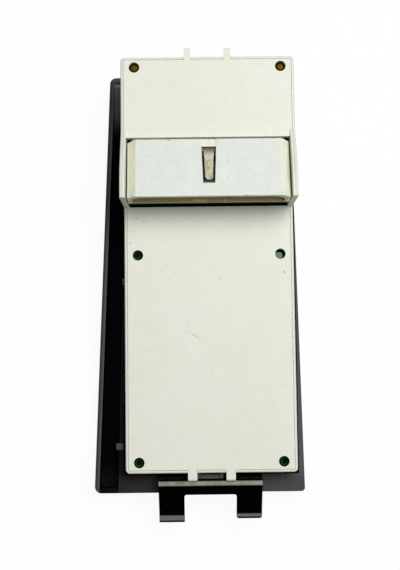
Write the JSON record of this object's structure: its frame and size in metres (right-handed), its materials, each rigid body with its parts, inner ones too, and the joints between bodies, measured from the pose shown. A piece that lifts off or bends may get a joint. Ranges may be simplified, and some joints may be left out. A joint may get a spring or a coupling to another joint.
{
  "type": "power window switch",
  "caption": "Driver's door window switch: ivory housing with a raised connector block, dark tapered bezel, spring clip and sprung window levers in finger wells.",
  "frame": {"origin": "on the flat front face of the bezel, on the housing's centre line, half way along the housing", "axes": "+Z out of the back of the housing, +Y towards the connector end, +X to the right seen from the back"},
  "size_m": [0.0872, 0.1929, 0.0495],
  "materials": {
    "black_bezel": "fine matt grain",
    "ivory_housing": "moulded, fine spark-eroded texture",
    "ivory_cover": "moulded, fine spark-eroded texture, a few scratches",
    "white_connector": "moulded, slightly satin",
    "beige_tongue": "rough",
    "tinned_terminals": "tinned",
    "green_board": "solder resist",
    "brass_parts": "dull",
    "relay_black": "satin",
    "chip_black": "satin",
    "pale_green_film": "satin",
    "copper_pads": "bright",
    "lever_black": "fine grain",
    "clip_steel": "dark, oiled spring steel",
    "contact_white": "satin"
  },
  "bodies": {
    "housing": {"bezel": "black_bezel", "switch_case": "ivory_housing", "rear_cover": "ivory_cover", "connector_header": "white_connector", "latch_tongue": "beige_tongue", "terminal_pins": "tinned_terminals", "circuit_board": "green_board", "brass_standoffs": "brass_parts", "relays": "relay_black", "control_chip": "chip_black", "film_capacitor": "pale_green_film", "contact_pads": "copper_pads", "lockout_switch": "relay_black", "spring_clip": "clip_steel", "clip_rivets": "clip_steel"},
    "lever_front_left": {"window_lever_front_left": "lever_black"},
    "rocking_contact_front_left": {"contact_rocker_front_left": "contact_white", "contact_wiper_front_left": "brass_parts"},
    "lever_front_right": {"window_lever_front_right": "lever_black"},
    "rocking_contact_front_right": {"contact_rocker_front_right": "contact_white", "contact_wiper_front_right": "brass_parts"},
    "lever_rear_left": {"window_lever_rear_left": "lever_black"},
    "rocking_contact_rear_left": {"contact_rocker_rear_left": "contact_white", "contact_wiper_rear_left": "brass_parts"},
    "lever_rear_right": {"window_lever_rear_right": "lever_black"},
    "rocking_contact_rear_right": {"contact_rocker_rear_right": "contact_white", "contact_wiper_rear_right": "brass_parts"},
    "door_lock_rocker": {"door_lock_rocker": "lever_black"},
    "rocking_contact_door_lock": {"contact_rocker_door_lock": "contact_white", "contact_wiper_door_lock": "brass_parts"},
    "lockout_button": {"lockout_button": "lever_black"}
  },
  "joints": [
    {"name": "lever_front_left_pivot", "type": "hinge", "parent": "housing", "child": "lever_front_left", "pos_m": [-0.0145, -0.041, 0.0084], "axis": [1, 0, 0], "range_deg": [-9, 9], "stiffness_Nm_per_rad": 0.12},
    {"name": "rocking_contact_front_left_pivot", "type": "hinge", "parent": "housing", "child": "rocking_contact_front_left", "pos_m": [-0.0145, -0.041, 0.0179], "axis": [1, 0, 0], "range_deg": [-7.5, 7.5]},
    {"name": "lever_front_right_pivot", "type": "hinge", "parent": "housing", "child": "lever_front_right", "pos_m": [0.0145, -0.041, 0.0084], "axis": [1, 0, 0], "range_deg": [-9, 9], "stiffness_Nm_per_rad": 0.12},
    {"name": "rocking_contact_front_right_pivot", "type": "hinge", "parent": "housing", "child": "rocking_contact_front_right", "pos_m": [0.0145, -0.041, 0.0179], "axis": [1, 0, 0], "range_deg": [-7.5, 7.5]},
    {"name": "lever_rear_left_pivot", "type": "hinge", "parent": "housing", "child": "lever_rear_left", "pos_m": [-0.0145, 0.004, 0.0084], "axis": [1, 0, 0], "range_deg": [-9, 9], "stiffness_Nm_per_rad": 0.12},
    {"name": "rocking_contact_rear_left_pivot", "type": "hinge", "parent": "housing", "child": "rocking_contact_rear_left", "pos_m": [-0.0145, 0.004, 0.0179], "axis": [1, 0, 0], "range_deg": [-7.5, 7.5]},
    {"name": "lever_rear_right_pivot", "type": "hinge", "parent": "housing", "child": "lever_rear_right", "pos_m": [0.0145, 0.004, 0.0084], "axis": [1, 0, 0], "range_deg": [-9, 9], "stiffness_Nm_per_rad": 0.12},
    {"name": "rocking_contact_rear_right_pivot", "type": "hinge", "parent": "housing", "child": "rocking_contact_rear_right", "pos_m": [0.0145, 0.004, 0.0179], "axis": [1, 0, 0], "range_deg": [-7.5, 7.5]},
    {"name": "door_lock_pivot", "type": "hinge", "parent": "housing", "child": "door_lock_rocker", "pos_m": [0.0145, -0.067, 0.0084], "axis": [1, 0, 0], "range_deg": [-7, 7], "stiffness_Nm_per_rad": 0.12},
    {"name": "rocking_contact_door_lock_pivot", "type": "hinge", "parent": "housing", "child": "rocking_contact_door_lock", "pos_m": [0.0145, -0.067, 0.0179], "axis": [1, 0, 0], "range_deg": [-6, 6]},
    {"name": "lockout_press", "type": "slide", "parent": "housing", "child": "lockout_button", "axis": [0, 0, 1], "range_m": [0, 0.002], "stiffness_N_per_m": 400}
  ],
  "couplings": [
    {"joint": "rocking_contact_front_left_pivot", "follows": "lever_front_left_pivot", "ratio": -0.8},
    {"joint": "rocking_contact_front_right_pivot", "follows": "lever_front_right_pivot", "ratio": -0.8},
    {"joint": "rocking_contact_rear_left_pivot", "follows": "lever_rear_left_pivot", "ratio": -0.8},
    {"joint": "rocking_contact_rear_right_pivot", "follows": "lever_rear_right_pivot", "ratio": -0.8},
    {"joint": "rocking_contact_door_lock_pivot", "follows": "door_lock_pivot", "ratio": -0.8}
  ]
}
